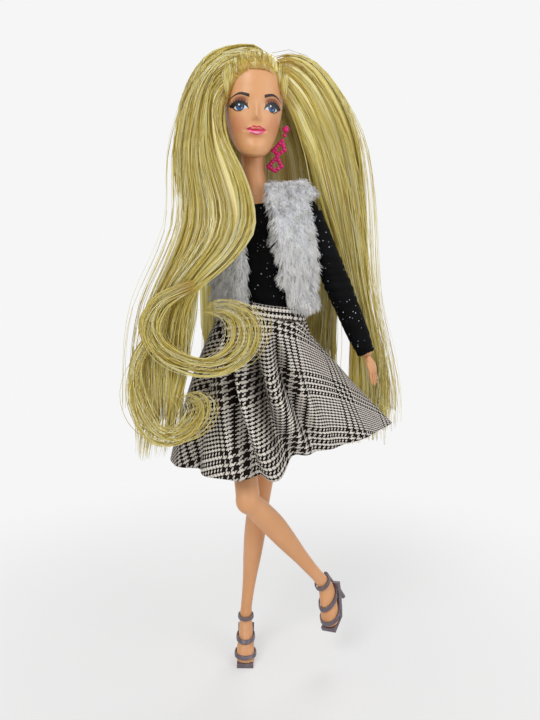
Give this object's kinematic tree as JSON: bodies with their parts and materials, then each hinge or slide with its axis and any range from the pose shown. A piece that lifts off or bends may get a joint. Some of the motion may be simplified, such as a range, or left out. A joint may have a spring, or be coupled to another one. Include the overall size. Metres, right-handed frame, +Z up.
{
  "type": "fashion doll",
  "caption": "Posable fashion doll with long hair, knit top, fur vest, flared plaid skirt and heeled sandals, standing with one leg crossed in front of the other.",
  "frame": {"origin": "on the floor, in the flat sole under the ball of the doll's left foot", "axes": "+Z up, -Y to the doll's front, +X to the doll's own left"},
  "size_m": [0.1213, 0.0712, 0.2906],
  "materials": {
    "black_glitter_knit": "fine black knit with glitter",
    "magenta_plastic": "bright magenta moulded plastic",
    "joint_plastic": "plain moulded joint plastic",
    "doll_skin_plastic": "satin skin-tone plastic",
    "hair_fibre": "long glossy synthetic fibre, yellow-green blonde",
    "doll_face_vinyl": "soft painted vinyl",
    "sandal_plastic": "purple-grey glossy moulded plastic",
    "plaid_cloth": "woven brown-black and off-white glen plaid",
    "hook_and_loop_tape": "black hook-and-loop tape",
    "faux_fur": "grey-white faux fur"
  },
  "bodies": {
    "torso": {"trunk_front": "doll_skin_plastic", "trunk_back": "doll_skin_plastic", "neck_column": "doll_skin_plastic", "bodice": "black_glitter_knit", "vest_back": "faux_fur", "vest_front_left": "faux_fur", "vest_front_right": "faux_fur", "waistband": "plaid_cloth", "skirt": "plaid_cloth", "skirt_closure": "hook_and_loop_tape"},
    "neck": {"neck_knob": "joint_plastic"},
    "head": {"head": "doll_face_vinyl", "hair_crown": "hair_fibre", "hair_fall_left": "hair_fibre", "hair_fall_right": "hair_fibre", "hair_back": "hair_fibre", "hair_curl_upper": "hair_fibre", "hair_curl_lower": "hair_fibre"},
    "earring_left": {"earring_left": "magenta_plastic"},
    "earring_right": {"earring_right": "magenta_plastic"},
    "shoulder_left": {"shoulder_peg_left": "joint_plastic"},
    "upper_arm_left": {"upper_arm_left": "doll_skin_plastic", "sleeve_left": "black_glitter_knit", "elbow_pin_left": "joint_plastic"},
    "forearm_left": {"forearm_left": "doll_skin_plastic"},
    "hand_left": {"hand_left": "doll_skin_plastic"},
    "shoulder_right": {"shoulder_peg_right": "joint_plastic"},
    "upper_arm_right": {"upper_arm_right": "doll_skin_plastic", "sleeve_right": "black_glitter_knit", "elbow_pin_right": "joint_plastic"},
    "forearm_right": {"forearm_right": "doll_skin_plastic"},
    "hand_right": {"hand_right": "doll_skin_plastic"},
    "hip_left": {"hip_peg_left": "joint_plastic"},
    "hip_ball_left": {"hip_ball_left": "doll_skin_plastic"},
    "thigh_left": {"thigh_left": "doll_skin_plastic", "knee_pin_left": "joint_plastic"},
    "shin_left": {"shin_left": "doll_skin_plastic", "sandal_left": "sandal_plastic"},
    "hip_right": {"hip_peg_right": "joint_plastic"},
    "hip_ball_right": {"hip_ball_right": "doll_skin_plastic"},
    "thigh_right": {"thigh_right": "doll_skin_plastic", "knee_pin_right": "joint_plastic"},
    "shin_right": {"shin_right": "doll_skin_plastic", "sandal_right": "sandal_plastic"}
  },
  "joints": [
    {"name": "head_turn", "type": "hinge", "parent": "torso", "child": "neck", "pos_m": [0.00352, 0.00462, 0.24992], "axis": [-0.0976, 0, 0.9952], "range_deg": [-38, 38], "deforming": ["hair_back"]},
    {"name": "head_nod", "type": "hinge", "parent": "neck", "child": "head", "pos_m": [0.00352, 0.00462, 0.24992], "axis": [0.9957, 0.0698, -0.0609], "range_deg": [-10, 7], "deforming": ["hair_fall_left", "hair_fall_right", "hair_curl_upper", "hair_curl_lower"]},
    {"name": "earring_left_swing", "type": "hinge", "parent": "head", "child": "earring_left", "pos_m": [0.01545, 0.00127, 0.25294], "axis": [0.9957, 0.0698, -0.0609], "range_deg": [-30, 5]},
    {"name": "earring_right_swing", "type": "hinge", "parent": "head", "child": "earring_right", "pos_m": [-0.00737, -0.00033, 0.25434], "axis": [0.9957, 0.0698, -0.0609], "range_deg": [-30, 5]},
    {"name": "shoulder_left_swing", "type": "hinge", "parent": "torso", "child": "shoulder_left", "pos_m": [0.02909, 0.00462, 0.21977], "axis": [-0.9952, 0, -0.0976], "range_deg": [-60, 170]},
    {"name": "shoulder_left_spread", "type": "hinge", "parent": "shoulder_left", "child": "upper_arm_left", "pos_m": [0.02909, 0.00462, 0.21977], "axis": [-0.0044, -0.999, 0.0451], "range_deg": [-10, 70], "deforming": ["vest_front_left", "vest_back"]},
    {"name": "elbow_left_bend", "type": "hinge", "parent": "upper_arm_left", "child": "forearm_left", "pos_m": [0.04315, 0.00307, 0.18666], "axis": [-0.9205, -0.0136, -0.3904], "range_deg": [-2, 88], "deforming": ["sleeve_left"]},
    {"name": "wrist_left_turn", "type": "hinge", "parent": "forearm_left", "child": "hand_left", "pos_m": [0.0572, 0.00025, 0.15364], "axis": [-0.3902, 0.0781, 0.9174], "range_deg": [-90, 90]},
    {"name": "shoulder_right_swing", "type": "hinge", "parent": "torso", "child": "shoulder_right", "pos_m": [-0.0157, 0.00462, 0.21538], "axis": [-0.9952, 0, -0.0976], "range_deg": [-60, 170]},
    {"name": "shoulder_right_spread", "type": "hinge", "parent": "shoulder_right", "child": "upper_arm_right", "pos_m": [-0.0157, 0.00462, 0.21538], "axis": [0.0044, 0.999, -0.0451], "range_deg": [-10, 70], "deforming": ["vest_front_right"]},
    {"name": "elbow_right_bend", "type": "hinge", "parent": "upper_arm_right", "child": "forearm_right", "pos_m": [-0.02976, 0.00319, 0.18227], "axis": [-0.9205, 0.0217, 0.3902], "range_deg": [-2, 88], "deforming": ["sleeve_right"]},
    {"name": "wrist_right_turn", "type": "hinge", "parent": "forearm_right", "child": "hand_right", "pos_m": [-0.04383, 0.0005, 0.14924], "axis": [0.3907, 0.0747, 0.9175], "range_deg": [-90, 90]},
    {"name": "hip_left_swing", "type": "hinge", "parent": "torso", "child": "hip_left", "pos_m": [0.01835, 0.00462, 0.14469], "axis": [-0.9877, 0, 0.1564], "range_deg": [-35, 5]},
    {"name": "hip_left_spread", "type": "hinge", "parent": "hip_left", "child": "hip_ball_left", "pos_m": [0.01835, 0.00462, 0.14469], "axis": [-0.0049, -0.9995, -0.031], "range_deg": [-8, 15]},
    {"name": "hip_left_turn", "type": "hinge", "parent": "hip_ball_left", "child": "thigh_left", "pos_m": [0.01835, 0.00462, 0.14469], "axis": [-0.1822, 0.0314, -0.9828], "range_deg": [-45, 45]},
    {"name": "knee_left_bend", "type": "hinge", "parent": "thigh_left", "child": "shin_left", "pos_m": [0.00679, 0.00662, 0.08228], "axis": [0.9833, 0.0008, -0.1822], "range_deg": [0, 90]},
    {"name": "hip_right_swing", "type": "hinge", "parent": "torso", "child": "hip_right", "pos_m": [-0.00625, 0.00462, 0.14859], "axis": [-0.9877, 0, 0.1564], "range_deg": [-5, 70], "deforming": ["skirt"]},
    {"name": "hip_right_spread", "type": "hinge", "parent": "hip_right", "child": "hip_ball_right", "pos_m": [-0.00625, 0.00462, 0.14859], "axis": [-0.0545, 0.9373, -0.3443], "range_deg": [-5, 15]},
    {"name": "hip_right_turn", "type": "hinge", "parent": "hip_ball_right", "child": "thigh_right", "pos_m": [-0.00625, 0.00462, 0.14859], "axis": [-0.1417, 0.334, 0.9319], "range_deg": [-40, 30]},
    {"name": "knee_right_bend", "type": "hinge", "parent": "thigh_right", "child": "shin_right", "pos_m": [0.00275, -0.01659, 0.08941], "axis": [0.6771, -0.654, 0.3374], "range_deg": [-45, 44]}
  ]
}
